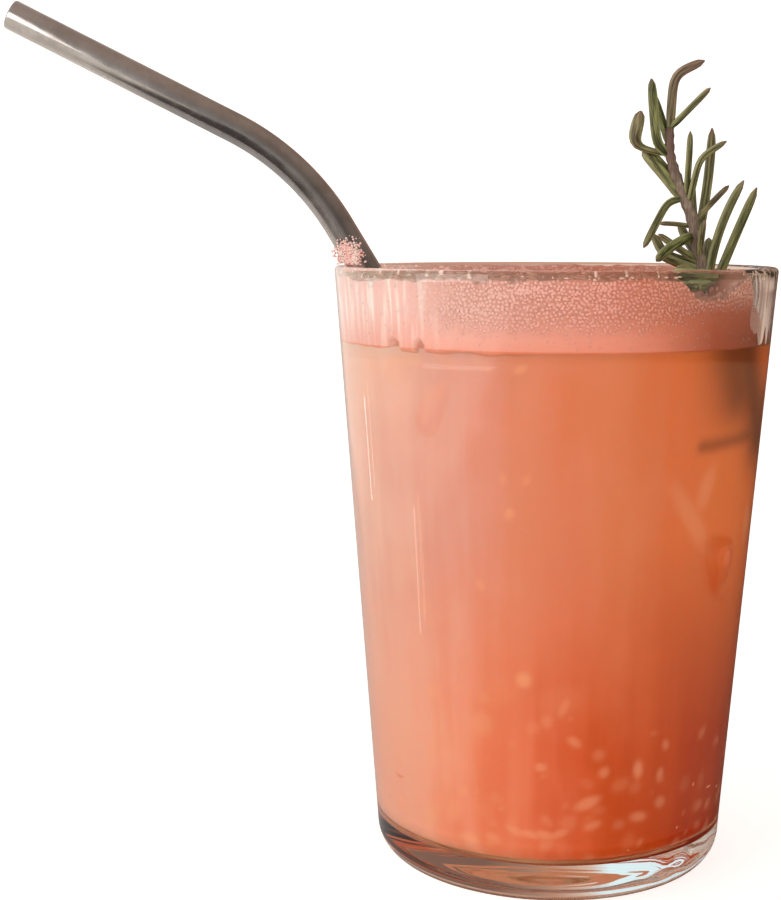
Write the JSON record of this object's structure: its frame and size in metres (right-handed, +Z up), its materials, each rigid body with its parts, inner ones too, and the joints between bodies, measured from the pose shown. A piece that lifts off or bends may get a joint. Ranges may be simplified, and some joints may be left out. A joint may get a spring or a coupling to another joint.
{
  "type": "glass of pink lemonade",
  "caption": "Tapered clear tumbler of cloudy pink lemonade with a head of foam, a bent steel straw over its rim and a rosemary sprig standing in it.",
  "frame": {"origin": "middle of the tumbler's flat foot, on the surface that it stands on", "axes": "+Z up along the tumbler, +X from the straw's side towards the sprig's side, +Y away from the side that the picture shows"},
  "size_m": [0.1534, 0.088, 0.1728],
  "materials": {
    "clear_glass": "clear, fire polished",
    "pink_drink": "cloudy pink liquid with pulp",
    "pink_foam": "fine pale pink foam",
    "steel": "polished stainless steel",
    "rosemary_green": "waxy olive green leaf"
  },
  "bodies": {
    "root": {"glass": "clear_glass", "drink": "pink_drink", "foam": "pink_foam", "straw": "steel", "rosemary": "rosemary_green"}
  },
  "joints": []
}
